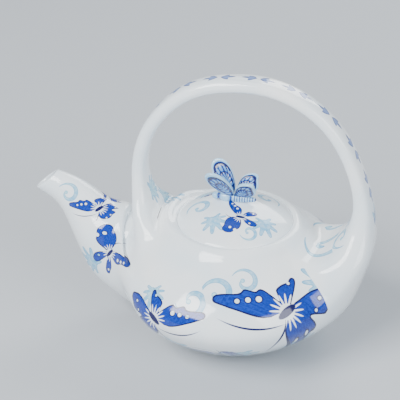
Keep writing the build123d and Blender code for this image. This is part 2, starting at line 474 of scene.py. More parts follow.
# ---- Painting: outlines in polar form round each motif's middle: angle in degrees, radius in mm ----
BUTTERFLY = [
    (-180, 16), (-172, 8), (-162, 4), (-126, 4), (-114, 9), (-104, 14), (-90, 17.5), (-74, 20),
    (-58, 22.5), (-44, 22), (-32, 24), (-21, 17), (-14, 28), (-3, 31), (8, 34), (15, 31), (24, 22),
    (33, 8), (44, 6), (52, 17), (60, 23), (70, 19), (86, 17), (100, 15), (110, 8), (117, 13),
    (124, 22), (131, 23), (136, 30), (141, 31), (147, 39), (153, 46), (158, 40), (166, 28), (180, 16),
]
SMALL_BUTTERFLY = [
    (-180, 5), (-162, 5), (-148, 19), (-134, 25), (-122, 30), (-108, 38), (-94, 36), (-80, 28),
    (-66, 22), (-52, 8), (-40, 6), (-28, 16), (-14, 27), (-2, 30), (8, 22), (18, 8), (28, 8),
    (38, 23), (48, 29), (60, 24), (72, 18), (84, 7), (96, 7), (108, 17), (120, 24), (128, 28),
    (133, 37), (138, 45), (144, 40), (154, 26), (166, 12), (180, 5),
]
# White dots: place in mm and radius
BUTTERFLY_DOTS = [
    ((-28.0, 14.8), 1.5), ((-21.5, 13.6), 1.7), ((-15.0, 12.2), 1.9), ((24.5, 3.2), 1.2),
    ((20.5, -3.4), 1.1), ((7.0, 17.2), 1.1), ((6.5, -17.6), 1.3), ((13.0, -14.6), 1.2),
]
SMALL_DOTS = [
    ((-25.5, 23.0), 1.8), ((-19.0, 19.5), 2.1), ((-12.5, 15.0), 2.2), ((4.0, -27.0), 2.6),
    ((-5.0, -26.0), 2.2), ((18.5, -4.0), 1.6), ((14.5, 18.0), 1.6),
]
SPRAY = [
    (-180, 5), (-150, 7), (-128, 15), (-112, 9), (-96, 20), (-80, 11), (-62, 24), (-44, 13),
    (-26, 27), (-8, 15), (10, 28), (28, 14), (46, 25), (64, 12), (82, 20), (100, 10), (118, 16),
    (140, 7), (160, 6), (180, 5),
]
OUTLINE_REACH = 50.0  # radius at the top of every outline's curve, in mm
LINE_WIDTH = 0.8  # liner brush, drawn a little wide so that it shows
RAYS = 17  # white rays round a butterfly's body
RAY_START = 5.5  # they start this far from the body's middle
RAY_END = 13.0
SPRAY_RIBS = 10
SCROLL_START = 5.0  # radius of a scroll's curl, and how much a turn adds to it
SCROLL_GROWTH = 13.0
SCROLL_WIDTH = 3.0
SCROLL_BALL = ((-3.6, 0.0), 2.8)  # centre and radius
BODY_LENGTH = 7.0
BODY_WIDTH = 2.6

# Painted places on the bowl: azimuth and height on its surface, size, turn, mirrored or not
COBALT_ON_BOWL = [
    ("large", -50.6, 55.9, 1.0, 0.0, False),
    ("large", -116.0, 46.0, 0.75, -6.0, True),
    ("large", 58.0, 55.0, 0.9, 4.0, False),
    ("small", 112.0, 50.0, 0.62, 10.0, True),
    ("small", 4.0, 40.0, 0.5, -30.0, False),
    ("large", -84.0, 24.0, 0.5, 160.0, True),
    ("small", 86.0, 26.0, 0.5, 170.0, False),
]
AQUA_ON_BOWL = [
    ("spray", -27.0, 61.0, 0.62, 60.0, False),
    ("scroll", -86.0, 66.0, 0.62, 20.0, False),
    ("scroll", -99.0, 61.0, 0.6, 200.0, True),
    ("spray", -122.0, 59.0, 0.42, 110.0, True),
    ("scroll", -70.0, 71.0, 0.5, -30.0, False),
    ("scroll", -4.0, 70.0, 0.75, 90.0, True),
    ("scroll", 20.0, 68.0, 0.6, -90.0, False),
    ("spray", -74.0, 26.0, 0.66, -80.0, False),
    ("spray", -108.0, 27.0, 0.62, -100.0, False),
    ("spray", -42.0, 29.0, 0.6, -70.0, False),
    ("scroll", -92.0, 20.0, 0.6, 180.0, False),
    ("spray", -140.0, 24.0, 0.5, -90.0, True),
    ("spray", 30.0, 60.0, 0.55, 80.0, True),
    ("scroll", 84.0, 64.0, 0.62, 0.0, True),
    ("spray", 84.0, 34.0, 0.62, -90.0, True),
    ("spray", 128.0, 30.0, 0.6, -60.0, False),
    ("spray", 44.0, 27.0, 0.6, -100.0, False),
    ("scroll", 138.0, 62.0, 0.6, 120.0, False),
]


MOTIF_DEPTH = 26.0  # how far before and behind its middle a motif of full size is painted, in mm

# Antennae, each a stroke: start, end, bulge, width
BUTTERFLY_ANTENNAE = [
    ((-5.0, -7.0), (-41.2, 7.1), 4.6, 1.1),
    ((-2.5, -5.5), (-11.2, -18.0), 1.6, 1.2),
]
SMALL_ANTENNAE = [
    ((-4.0, -3.0), (-24.0, -4.0), 4.0, 1.1),
    ((0.5, -4.0), (8.0, -24.0), 3.4, 1.1),
]

# Painted places elsewhere: centre, way it faces, way its top points, size, mirrored or not
COBALT_ON_SPOUT = [
    ("large", (-90.5, -12.0, 85.0), (-0.2, -0.75, 0.6), (-0.5, 0.2, 0.85), 0.42, False),
    ("small", (-80.0, -26.0, 60.0), (-0.45, -0.8, 0.4), (0.62, 0.16, -0.77), 0.5, False),
    ("large", (-91.0, 12.0, 84.0), (-0.2, 0.8, 0.55), (-0.5, -0.2, 0.85), 0.4, True),
    ("small", (-80.0, 26.0, 58.0), (-0.45, 0.8, 0.4), (0.62, -0.16, -0.77), 0.5, True),
]
AQUA_ON_SPOUT = [
    ("scroll", (-111.0, -9.0, 91.0), (-0.2, -0.9, 0.4), (0.5, 0.2, 0.85), 0.4, False),
    ("spray", (-92.0, -22.0, 47.0), (-0.5, -0.8, 0.1), (-0.3, 0.1, -0.9), 0.5, False),
    ("scroll", (-111.0, 9.0, 89.0), (-0.2, 0.9, 0.4), (0.5, -0.2, 0.85), 0.4, True),
    ("spray", (-92.0, 22.0, 47.0), (-0.5, 0.8, 0.1), (-0.3, -0.1, -0.9), 0.5, True),
]
AQUA_ON_HOOP = [
    ("spray", (-56.5, 0.0, 97.0), (1.0, 0.0, 0.35), (0.0, 0.0, 1.0), 0.5, False),
    ("spray", (-52.0, 13.0, 87.0), (1.0, -0.2, 0.7), (0.0, 0.0, -1.0), 0.45, True),
    ("spray", (77.0, 0.0, 98.0), (-1.0, 0.0, 0.2), (0.0, 0.0, 1.0), 0.55, True),
    ("scroll", (73.0, -8.0, 84.0), (-1.0, -0.2, 0.5), (0.0, 0.0, -1.0), 0.5, False),
]
COBALT_ON_LID = [
    ("small", (7.0, -15.4, 94.3), (0.1, -0.25, 1.0), (0.25, 1.0, 0.2), 0.4, False),
    ("small", (-8.0, 17.0, 94.0), (-0.1, 0.25, 1.0), (-0.25, -1.0, 0.2), 0.38, True),
]
AQUA_ON_LID = [
    ("spray", (22.0, -13.0, 91.0), (0.3, -0.2, 1.0), (0.9, 0.5, 0.0), 0.42, False),
    ("spray", (-9.5, -19.5, 92.0), (-0.1, -0.3, 1.0), (-0.9, -0.3, 0.0), 0.42, True),
    ("scroll", (-22.0, -7.0, 92.0), (-0.3, -0.1, 1.0), (-0.5, 1.0, 0.0), 0.5, False),
    ("scroll", (15.0, -25.0, 90.0), (0.2, -0.4, 1.0), (0.5, -0.8, 0.0), 0.34, True),
    ("spray", (-22.0, 13.0, 91.0), (-0.3, 0.2, 1.0), (-0.9, -0.5, 0.0), 0.42, False),
    ("scroll", (18.0, 16.0, 92.0), (0.3, 0.2, 1.0), (0.5, 1.0, 0.0), 0.5, True),
]

HOOP_MIDDLE = (7.4, 113.0)  # x and z of the middle of the hoop's curve
HOOP_OUTSIDE = 67.5  # only what lies further out than this carries the leaf band
BAND_LOW = -20.0  # the band ends this far from the hoop's middle, and fades over the next value
BAND_FADE = 6.0
BAND_CELLS = 36.0  # leaves and dashes in a whole turn
CELL_LENGTH = 13.0
LEAF_HALF = 3.4  # half width at the middle, and how fast it narrows along its length
LEAF_TAPER = 0.11
DASH_HALF = 1.1
DASH_TAPER = 0.05

TURNED_STEPS = 96  # facets round the foot ring and the lid
FOOT_WIDTH = 5.5
FOOT_TUCK = 0.6  # how far the ring reaches up into the bowl
FOOT_TAPER = 1.2
FOOT_EDGE = 0.5
FLANGE_THICK = 2.6
FLANGE_EDGE = 0.7

# Lid's section from its middle: radius and drop below its top
LID_OUTSIDE = [
    (0.0, 0.0), (8.0, 0.5), (16.0, 2.2), (23.0, 4.7), (29.0, 7.6), (33.6, 10.2), (36.6, 12.3),
    (LID_R, 13.6),
]
LID_INSIDE = [(27.0, 12.4), (20.0, 8.0), (10.0, 4.2), (0.0, 3.2)]

CAMERA_TURN = radians(14.6)
CAMERA_RISE = radians(29.7)
CAMERA_LENS = 126.0
CAMERA_AWAY = 910.0  # from the rim's middle, in mm
CAMERA_ASIDE = 22.7
CAMERA_ABOVE = 11.4

WORLD_STRENGTH = 0.6
# Soft boxes: name, place in metres, side in metres, power and tint
LIGHTS = [
    ("key_light", (-0.7, -1.1, 1.25), 0.9, 46.0, (1.0, 0.99, 0.97)),
    ("fill_light", (1.3, -0.9, 0.8), 1.0, 20.0, (0.95, 0.98, 1.0)),
    ("rim_light", (0.3, 1.2, 1.0), 0.8, 14.0, (0.97, 0.99, 1.0)),
]


def linear(code):
    """An sRGB hex colour as linear RGBA."""
    values = [int(code[i:i + 2], 16) / 255 for i in (0, 2, 4)]
    return tuple(v / 12.92 if v <= 0.04045 else ((v + 0.055) / 1.055) ** 2.4 for v in values) + (1.0,)


def add(tree, kind, settings, links):
    """Adds a node with its settings and links, and returns its first output."""
    node = tree.nodes.new(kind)
    for name, value in settings.items():
        setattr(node, name, value)
    for socket, source in links.items():
        if isinstance(source, bpy.types.NodeSocket):
            tree.links.new(source, node.inputs[socket])
        else:
            node.inputs[socket].default_value = source
    return node.outputs[0]


def new_group(name, outputs):
    """A node group that takes a place in mm and gives painted masks."""
    tree = bpy.data.node_groups.new(name, "ShaderNodeTree")
    tree.interface.new_socket("Place", in_out="INPUT", socket_type="NodeSocketVector")
    for output in outputs:
        tree.interface.new_socket(output, in_out="OUTPUT", socket_type="NodeSocketFloat")
    entry = tree.nodes.new("NodeGroupInput")
    leave = tree.nodes.new("NodeGroupOutput")
    return tree, entry.outputs["Place"], leave


def polar(tree, place):
    """Distance from the middle and the angle round it as a share of a turn, 0 to 1 from -180 degrees."""
    flat = add(tree, "ShaderNodeVectorMath", {"operation": "MULTIPLY"}, {0: place, 1: (1.0, 1.0, 0.0)})
    reach = add(tree, "ShaderNodeVectorMath", {"operation": "LENGTH"}, {0: flat}).node.outputs["Value"]
    split = add(tree, "ShaderNodeSeparateXYZ", {}, {0: place}).node
    angle = add(tree, "ShaderNodeMath", {"operation": "ARCTAN2"},
                {0: split.outputs["Y"], 1: split.outputs["X"]})
    share = add(tree, "ShaderNodeMath", {"operation": "MULTIPLY_ADD"}, {0: angle, 1: 0.5 / pi, 2: 0.5})
    return reach, share


def outline_radius(tree, share, outline):
    """The outline's radius in mm at a share of a turn."""
    radius = add(tree, "ShaderNodeFloatCurve", {}, {"Value": share})
    mapping = radius.node.mapping
    curve = mapping.curves[0]
    places = [((angle + 180) / 360, size / OUTLINE_REACH) for angle, size in outline]
    curve.points[0].location = places[0]
    curve.points[1].location = places[-1]
    for place in places[1:-1]:
        curve.points.new(*place)
    mapping.update()
    return add(tree, "ShaderNodeMath", {"operation": "MULTIPLY"}, {0: radius, 1: OUTLINE_REACH})


def step_mask(tree, amount, softness=0.25):
    """1 where the amount in mm is above zero, 0 where it is below, with a soft edge."""
    return add(tree, "ShaderNodeMapRange", {"interpolation_type": "SMOOTHSTEP"},
               {"Value": amount, "From Min": -softness, "From Max": softness})


def inside_outline(tree, reach, share, outline):
    """Depth in mm inside an outline, and inside the same outline drawn one line narrower all round."""
    radius = outline_radius(tree, share, outline)
    depth = add(tree, "ShaderNodeMath", {"operation": "SUBTRACT"}, {0: radius, 1: reach})
    around = add(tree, "ShaderNodeMath", {"operation": "DIVIDE"}, {0: LINE_WIDTH / (2 * pi), 1: reach})
    inner = depth
    for way in (-1.0, 1.0):
        aside = add(tree, "ShaderNodeMath", {"operation": "MULTIPLY_ADD"}, {0: around, 1: way, 2: share})
        other = outline_radius(tree, aside, outline)
        near = add(tree, "ShaderNodeMath", {"operation": "SUBTRACT"}, {0: other, 1: reach})
        inner = add(tree, "ShaderNodeMath", {"operation": "MINIMUM"}, {0: inner, 1: near})
    inner = add(tree, "ShaderNodeMath", {"operation": "SUBTRACT"}, {0: inner, 1: LINE_WIDTH})
    return depth, inner


def round_mask(tree, place, centre, radius):
    """Depth in mm inside a circle."""
    away = add(tree, "ShaderNodeVectorMath", {"operation": "DISTANCE"}, {0: place, 1: (*centre, 0.0)})
    return add(tree, "ShaderNodeMath", {"operation": "SUBTRACT"}, {0: radius, 1: away.node.outputs["Value"]})


def stroke(tree, place, start, end, bulge, width):
    """Depth inside a tapering stroke from start to end: what one arc encloses and a flatter one doesn't.
    Bulge is how far its middle stands out to the left of the straight line."""
    start, end = Vector(start), Vector(end)
    along = end - start
    aside = Vector((-along.y, along.x)).normalized()
    depths = []
    for way, height in ((1, bulge + width / 2), (-1, bulge - width / 2)):
        radius = ((along.length / 2) ** 2 + height ** 2) / (2 * height)
        depth = round_mask(tree, place, (start + end) / 2 + aside * (height - radius), radius)
        depths.append(add(tree, "ShaderNodeMath", {"operation": "MULTIPLY"}, {0: depth, 1: way}))
    return add(tree, "ShaderNodeMath", {"operation": "MINIMUM"}, {0: depths[0], 1: depths[1]})


def butterfly_group(name, outline, dots, antennae, body_turn):
    """Painted butterfly: cobalt wings with a navy outline, white dots and rays, a leaf body, antennae."""
    tree, place, leave = new_group(name, ("Fill", "Line", "Shade"))
    flat = add(tree, "ShaderNodeVectorMath", {"operation": "MULTIPLY"}, {0: place, 1: (1.0, 1.0, 0.0)})
    reach, share = polar(tree, flat)
    depth, inner = inside_outline(tree, reach, share, outline)

    # White rays fan out from the body and narrow to nothing in each wing
    spokes = add(tree, "ShaderNodeMath", {"operation": "MULTIPLY"}, {0: share, 1: 2 * pi * RAYS})
    wave = add(tree, "ShaderNodeMath", {"operation": "SINE"}, {0: spokes})
    ray_end = add(tree, "ShaderNodeMapRange", {}, {"Value": reach, "From Min": RAY_START, "From Max": RAY_END,
                                                   "To Min": -0.3, "To Max": 1.3})
    ray = add(tree, "ShaderNodeMath", {"operation": "SUBTRACT"}, {0: ray_end, 1: wave})
    ray = step_mask(tree, ray, 0.12)
    clear = add(tree, "ShaderNodeMath", {"operation": "SUBTRACT"}, {0: reach, 1: RAY_START - 0.3})
    clear = step_mask(tree, clear, 0.3)

    spots = None
    for centre, radius in dots:
        spot = round_mask(tree, flat, centre, radius)
        joined = {0: spot, 1: spots if spots else -1.0}
        spots = add(tree, "ShaderNodeMath", {"operation": "MAXIMUM"}, joined)
    spot_white = step_mask(tree, spots)
    spot_dark = add(tree, "ShaderNodeMath", {"operation": "ADD"}, {0: spots, 1: 0.7})
    spot_dark = step_mask(tree, spot_dark)

    kept = add(tree, "ShaderNodeMath", {"operation": "MULTIPLY"}, {0: ray, 1: clear})
    not_spot = add(tree, "ShaderNodeMath", {"operation": "SUBTRACT"}, {0: 1.0, 1: spot_white})
    kept = add(tree, "ShaderNodeMath", {"operation": "MULTIPLY"}, {0: kept, 1: not_spot})
    whole = add(tree, "ShaderNodeMath", {"operation": "MULTIPLY"}, {0: step_mask(tree, depth), 1: kept})
    core = step_mask(tree, inner)

    # Leaf body and antennae
    leaf = add(tree, "ShaderNodeMapping", {"vector_type": "TEXTURE"},
               {"Vector": flat, "Rotation": (0.0, 0.0, radians(body_turn)),
                "Scale": (BODY_LENGTH, BODY_WIDTH, 1.0)})
    leaf = add(tree, "ShaderNodeVectorMath", {"operation": "LENGTH"}, {0: leaf}).node.outputs["Value"]
    leaf = add(tree, "ShaderNodeMath", {"operation": "SUBTRACT"}, {0: 1.0, 1: leaf})
    leaf = step_mask(tree, leaf, 0.08)
    strokes = leaf
    for antenna in antennae:
        antenna = step_mask(tree, stroke(tree, flat, *antenna))
        strokes = add(tree, "ShaderNodeMath", {"operation": "MAXIMUM"}, {0: strokes, 1: antenna})

    fill = add(tree, "ShaderNodeMath", {"operation": "MAXIMUM"}, {0: whole, 1: strokes})
    edge = add(tree, "ShaderNodeMath", {"operation": "SUBTRACT"}, {0: 1.0, 1: core})
    edge = add(tree, "ShaderNodeMath", {"operation": "MAXIMUM"}, {0: edge, 1: spot_dark})
    edge = add(tree, "ShaderNodeMath", {"operation": "MULTIPLY"}, {0: edge, 1: whole})
    line = add(tree, "ShaderNodeMath", {"operation": "MAXIMUM"}, {0: edge, 1: strokes})

    # Brush hairs run out along the wings
    hairs = add(tree, "ShaderNodeCombineXYZ", {}, {"X": share, "Y": reach})
    hairs = add(tree, "ShaderNodeVectorMath", {"operation": "MULTIPLY"}, {0: hairs, 1: (26.0, 0.11, 0.0)})
    shade = add(tree, "ShaderNodeTexNoise", {"noise_dimensions": "2D"}, {"Vector": hairs, "Detail": 3.0})
    for socket, source in (("Fill", fill), ("Line", line), ("Shade", shade)):
        tree.links.new(source, leave.inputs[socket])
    return tree


def spray_group():
    """Painted leaf spray: lobed leaf in thin wash with a darker edge and ribs."""
    tree, place, leave = new_group("painted_spray", ("Fill", "Line", "Shade"))
    flat = add(tree, "ShaderNodeVectorMath", {"operation": "MULTIPLY"}, {0: place, 1: (1.0, 1.0, 0.0)})
    reach, share = polar(tree, flat)
    depth, inner = inside_outline(tree, reach, share, SPRAY)
    fill = step_mask(tree, depth)
    core = step_mask(tree, inner)
    edge = add(tree, "ShaderNodeMath", {"operation": "SUBTRACT"}, {0: fill, 1: core})
    ribs = add(tree, "ShaderNodeMath", {"operation": "MULTIPLY"}, {0: share, 1: 2 * pi * SPRAY_RIBS})
    ribs = add(tree, "ShaderNodeMath", {"operation": "SINE"}, {0: ribs})
    shade = add(tree, "ShaderNodeMapRange", {}, {"Value": ribs, "From Min": -1.0})
    for socket, source in (("Fill", fill), ("Line", edge), ("Shade", shade)):
        tree.links.new(source, leave.inputs[socket])
    return tree


def scroll_group():
    """Painted scroll: a tapering spiral stroke that ends in a small ball."""
    tree, place, leave = new_group("painted_scroll", ("Fill", "Line", "Shade"))
    flat = add(tree, "ShaderNodeVectorMath", {"operation": "MULTIPLY"}, {0: place, 1: (1.0, 1.0, 0.0)})
    reach, share = polar(tree, flat)
    spiral = add(tree, "ShaderNodeMath", {"operation": "MULTIPLY_ADD"},
                 {0: share, 1: SCROLL_GROWTH, 2: SCROLL_START})
    away = add(tree, "ShaderNodeMath", {"operation": "SUBTRACT"}, {0: reach, 1: spiral})
    away = add(tree, "ShaderNodeMath", {"operation": "ABSOLUTE"}, {0: away})
    taper = add(tree, "ShaderNodeMath", {"operation": "SINE"},
                {0: add(tree, "ShaderNodeMath", {"operation": "MULTIPLY"}, {0: share, 1: pi})})
    width = add(tree, "ShaderNodeMath", {"operation": "MULTIPLY_ADD"}, {0: taper, 1: SCROLL_WIDTH, 2: 0.3})
    depth = add(tree, "ShaderNodeMath", {"operation": "SUBTRACT"}, {0: width, 1: away})
    ball = round_mask(tree, flat, *SCROLL_BALL)
    depth = add(tree, "ShaderNodeMath", {"operation": "MAXIMUM"}, {0: depth, 1: ball})
    thin = add(tree, "ShaderNodeMath", {"operation": "SUBTRACT"}, {0: depth, 1: LINE_WIDTH})
    fill = step_mask(tree, depth)
    edge = add(tree, "ShaderNodeMath", {"operation": "SUBTRACT"}, {0: fill, 1: step_mask(tree, thin)})
    for socket, source in (("Fill", fill), ("Line", edge), ("Shade", taper)):
        tree.links.new(source, leave.inputs[socket])
    return tree


def on_surface(azimuth, height, turn):
    """Centre and axes of a place on the bowl: along the rim, up the wall and out of it."""
    angle = radians(azimuth)
    reach = 2.0
    slope = (bowl_radius(height + reach) - bowl_radius(height - reach)) / (2 * reach)
    radius = bowl_radius(height)
    along = Vector((-sin(angle), cos(angle), 0))
    up = Vector((cos(angle) * slope, sin(angle) * slope, 1)).normalized()
    centre = Vector((radius * cos(angle), radius * sin(angle), height))
    return centre, turned_axes(along, up, turn)


def turned_axes(along, up, turn):
    """A motif's axes: along and up turned round their normal."""
    t = radians(turn)
    first = along * cos(t) + up * sin(t)
    second = up * cos(t) - along * sin(t)
    return first, second, along.cross(up)


def stamp(tree, groups, kind, places):
    """Fill, line and shade of one kind of motif, worked out once for whichever place is nearest."""
    where = add(tree, "ShaderNodeTexCoord", {}, {}).node.outputs["Object"]
    nearest = reach = None
    for centre, axes, size, mirrored in places:
        scale = size * MM
        turn = Matrix(axes).transposed().to_euler()
        place = add(tree, "ShaderNodeMapping", {"vector_type": "TEXTURE"},
                    {"Vector": where, "Location": centre * MM, "Rotation": turn,
                     "Scale": (-scale if mirrored else scale, scale, scale)})
        away = add(tree, "ShaderNodeVectorMath", {"operation": "LENGTH"}, {0: place}).node.outputs["Value"]
        if nearest:
            closer = add(tree, "ShaderNodeMath", {"operation": "LESS_THAN"}, {0: away, 1: reach})
            mix = add(tree, "ShaderNodeMix", {"data_type": "VECTOR"}, {0: closer}).node
            tree.links.new(nearest, mix.inputs["A"])
            tree.links.new(place, mix.inputs["B"])
            place = mix.outputs["Result"]
            away = add(tree, "ShaderNodeMath", {"operation": "MINIMUM"}, {0: away, 1: reach})
        nearest, reach = place, away
    group = add(tree, "ShaderNodeGroup", {"node_tree": groups[kind]}, {"Place": nearest}).node
    lift = add(tree, "ShaderNodeSeparateXYZ", {}, {0: nearest}).node.outputs["Z"]
    lift = add(tree, "ShaderNodeMath", {"operation": "ABSOLUTE"}, {0: lift})
    near = add(tree, "ShaderNodeMath", {"operation": "LESS_THAN"}, {0: lift, 1: MOTIF_DEPTH})
    fill, line = (add(tree, "ShaderNodeMath", {"operation": "MULTIPLY"}, {0: group.outputs[output], 1: near})
                  for output in ("Fill", "Line"))
    return fill, line, group.outputs["Shade"]


def gather(tree, groups, stamps):
    """Lays the kinds of motif one over another."""
    layers = None
    for kind in sorted({place[0] for place in stamps}):
        masks = stamp(tree, groups, kind, [place[1:] for place in stamps if place[0] == kind])
        if layers:
            masks = [add(tree, "ShaderNodeMath", {"operation": "MAXIMUM"}, {0: old, 1: new})
                     for old, new in zip(layers, masks)]
        layers = masks
    return layers


def hoop_band(tree):
    """A row of leaves and dashes along the outside of the hoop."""
    where = add(tree, "ShaderNodeTexCoord", {}, {}).node.outputs["Object"]
    place = add(tree, "ShaderNodeMapping", {"vector_type": "TEXTURE"},
                {"Vector": where, "Location": (HOOP_MIDDLE[0] * MM, 0.0, HOOP_MIDDLE[1] * MM),
                 "Rotation": (pi / 2, 0.0, 0.0), "Scale": (MM, MM, MM)})
    reach, share = polar(tree, place)
    split = add(tree, "ShaderNodeSeparateXYZ", {}, {0: place}).node
    across = split.outputs["Z"]
    outer = add(tree, "ShaderNodeMath", {"operation": "SUBTRACT"}, {0: reach, 1: HOOP_OUTSIDE})
    shown = step_mask(tree, outer, 1.0)
    high = add(tree, "ShaderNodeMath", {"operation": "SUBTRACT"}, {0: split.outputs["Y"], 1: BAND_LOW})
    high = step_mask(tree, high, BAND_FADE)
    shown = add(tree, "ShaderNodeMath", {"operation": "MULTIPLY"}, {0: shown, 1: high})
    along = add(tree, "ShaderNodeMath", {"operation": "MULTIPLY_ADD"}, {0: share, 1: BAND_CELLS, 2: 0.5})
    cell = add(tree, "ShaderNodeMath", {"operation": "FRACT"}, {0: along})
    cell = add(tree, "ShaderNodeMath", {"operation": "SUBTRACT"}, {0: cell, 1: 0.5})
    pair = add(tree, "ShaderNodeMath", {"operation": "PINGPONG"}, {0: along, 1: 1.0})
    is_leaf = add(tree, "ShaderNodeMath", {"operation": "GREATER_THAN"}, {0: pair, 1: 0.5})
    length = add(tree, "ShaderNodeMath", {"operation": "MULTIPLY"}, {0: cell, 1: CELL_LENGTH})
    squared = add(tree, "ShaderNodeMath", {"operation": "MULTIPLY"}, {0: length, 1: length})
    leaf = add(tree, "ShaderNodeMath", {"operation": "MULTIPLY_ADD"},
               {0: squared, 1: -LEAF_TAPER, 2: LEAF_HALF})
    dash = add(tree, "ShaderNodeMath", {"operation": "MULTIPLY_ADD"},
               {0: squared, 1: -DASH_TAPER, 2: DASH_HALF})
    width = add(tree, "ShaderNodeMix", {}, {0: is_leaf, 2: dash, 3: leaf})
    aside = add(tree, "ShaderNodeMath", {"operation": "ABSOLUTE"}, {0: across})
    depth = add(tree, "ShaderNodeMath", {"operation": "SUBTRACT"}, {0: width, 1: aside})
    thin = add(tree, "ShaderNodeMath", {"operation": "SUBTRACT"}, {0: depth, 1: LINE_WIDTH})
    fill = add(tree, "ShaderNodeMath", {"operation": "MULTIPLY"}, {0: step_mask(tree, depth), 1: shown})
    core = add(tree, "ShaderNodeMath", {"operation": "MULTIPLY"}, {0: step_mask(tree, thin), 1: shown})
    edge = add(tree, "ShaderNodeMath", {"operation": "SUBTRACT"}, {0: fill, 1: core})
    return fill, edge, core


def new_material(name):
    """A new material, its nodes, its main shader and the piece's own coordinates."""
    material = bpy.data.materials.new(name)
    material.use_nodes = True
    tree = material.node_tree
    where = add(tree, "ShaderNodeTexCoord", {}, {}).node.outputs["Object"]
    return material, tree, tree.nodes["Principled BSDF"], where


def painted_glaze(name, groups, cobalt_stamps, aqua_stamps, band=None):
    """Hard porcelain painted with cobalt under a clear feldspar glaze and fired: white with a cool cast
    where the glaze is thick, deep blue where the brush pooled, and a glassy coat over all of it."""
    colours = bpy.context.scene.teapot_colours
    material, tree, shader, where = new_material(name)

    # Glaze pools unevenly over 40 mm or so, and its surface ripples over 9 mm
    pool = add(tree, "ShaderNodeTexNoise", {}, {"Vector": where, "Scale": 1 / (40 * MM), "Detail": 2.0})
    ripple = add(tree, "ShaderNodeTexNoise", {}, {"Vector": where, "Scale": 1 / (9 * MM), "Detail": 1.0})
    mottle = add(tree, "ShaderNodeTexNoise", {}, {"Vector": where, "Scale": 1 / (2.5 * MM), "Detail": 4.0})
    pool = add(tree, "ShaderNodeMapRange", {}, {"Value": pool, "From Min": 0.35, "From Max": 0.7})
    colour = add(tree, "ShaderNodeMix", {"data_type": "RGBA"}, {0: pool}).node
    colour.inputs["A"].default_value = colours.glaze
    colour.inputs["B"].default_value = colours.glaze_pooled
    colour = colour.outputs["Result"]

    def lay(under, mask, first, second, blend):
        """Colour over what is under it: first and second mixed by blend, shown where mask is."""
        paint = add(tree, "ShaderNodeMix", {"data_type": "RGBA"}, {0: blend}).node
        paint.inputs["A"].default_value = first
        paint.inputs["B"].default_value = second
        over = add(tree, "ShaderNodeMix", {"data_type": "RGBA"}, {0: mask}).node
        tree.links.new(under, over.inputs["A"])
        tree.links.new(paint.outputs["Result"], over.inputs["B"])
        return over.outputs["Result"]

    if aqua_stamps:
        fill, line, shade = gather(tree, groups, aqua_stamps)
        thin = add(tree, "ShaderNodeMapRange", {}, {"Value": mottle, "From Min": 0.3, "From Max": 0.7,
                                                    "To Min": 0.55, "To Max": 1.0})
        fill = add(tree, "ShaderNodeMath", {"operation": "MULTIPLY"}, {0: fill, 1: thin})
        colour = lay(colour, fill, colours.aqua, colours.aqua_deep, shade)
        line = add(tree, "ShaderNodeMath", {"operation": "MULTIPLY"}, {0: line, 1: 0.75})
        colour = lay(colour, line, colours.aqua_line, colours.aqua_deep, mottle)
    if band:
        fill, line, shade = band(tree)
        fill = add(tree, "ShaderNodeMath", {"operation": "MULTIPLY"}, {0: fill, 1: 0.8})
        colour = lay(colour, fill, colours.band, colours.cobalt_thin, mottle)
        line = add(tree, "ShaderNodeMath", {"operation": "MULTIPLY"}, {0: line, 1: 0.7})
        colour = lay(colour, line, colours.cobalt, colours.navy, mottle)
    if cobalt_stamps:
        fill, line, shade = gather(tree, groups, cobalt_stamps)
        streak = add(tree, "ShaderNodeMapRange", {}, {"Value": shade, "From Min": 0.42, "From Max": 0.68})
        colour = lay(colour, fill, colours.cobalt, colours.cobalt_thin, streak)
        colour = lay(colour, line, colours.navy, colours.navy, mottle)

    tree.links.new(colour, shader.inputs["Base Color"])
    shader.inputs["Roughness"].default_value = 0.1
    shader.inputs["IOR"].default_value = 1.5
    shader.inputs["Coat Weight"].default_value = 0.3
    shader.inputs["Coat Roughness"].default_value = 0.04
    bump = add(tree, "ShaderNodeBump", {}, {"Strength": 0.12, "Distance": 0.3 * MM, "Height": ripple})
    tree.links.new(bump, shader.inputs["Normal"])
    tree.links.new(bump, shader.inputs["Coat Normal"])
    return material


def relief_glaze(name):
    """Press-moulded porcelain under a pale blue glaze with cobalt brushed into its grooves: the glaze
    breaks nearly white on the raised cells and rims and gathers navy in the lines between them. The
    near-white on the rims and rib crests is also a painted highlight."""
    colours = bpy.context.scene.teapot_colours
    material, tree, shader, where = new_material(name)
    mottle = add(tree, "ShaderNodeTexNoise", {}, {"Vector": where, "Scale": 1 / (2.2 * MM), "Detail": 3.0})
    raised = add(tree, "ShaderNodeAttribute", {"attribute_name": "relief"}, {}).node.outputs["Fac"]
    wander = add(tree, "ShaderNodeMath", {"operation": "MULTIPLY_ADD"}, {0: mottle, 1: 0.5, 2: -0.25})
    level = add(tree, "ShaderNodeMath", {"operation": "ADD"}, {0: raised, 1: wander})
    ramp = add(tree, "ShaderNodeValToRGB", {}, {"Fac": level})
    stops = ramp.node.color_ramp.elements
    stops[0].position = 0.14
    stops[0].color = colours.navy
    # Top stop: pale glaze breaking on the rims and rib crests, which also serves as a painted highlight there
    stops[1].position = 0.9
    stops[1].color = colours.knob_pale_and_highlight
    for position, colour in ((0.32, colours.cobalt_thin), (0.5, colours.knob)):
        stops.new(position).color = colour
    tree.links.new(ramp, shader.inputs["Base Color"])
    shader.inputs["Roughness"].default_value = 0.2
    shader.inputs["IOR"].default_value = 1.5
    shader.inputs["Coat Weight"].default_value = 0.5
    shader.inputs["Coat Roughness"].default_value = 0.06
    bump = add(tree, "ShaderNodeBump", {}, {"Strength": 0.2, "Distance": 0.2 * MM, "Height": mottle})
    tree.links.new(bump, shader.inputs["Normal"])
    return material


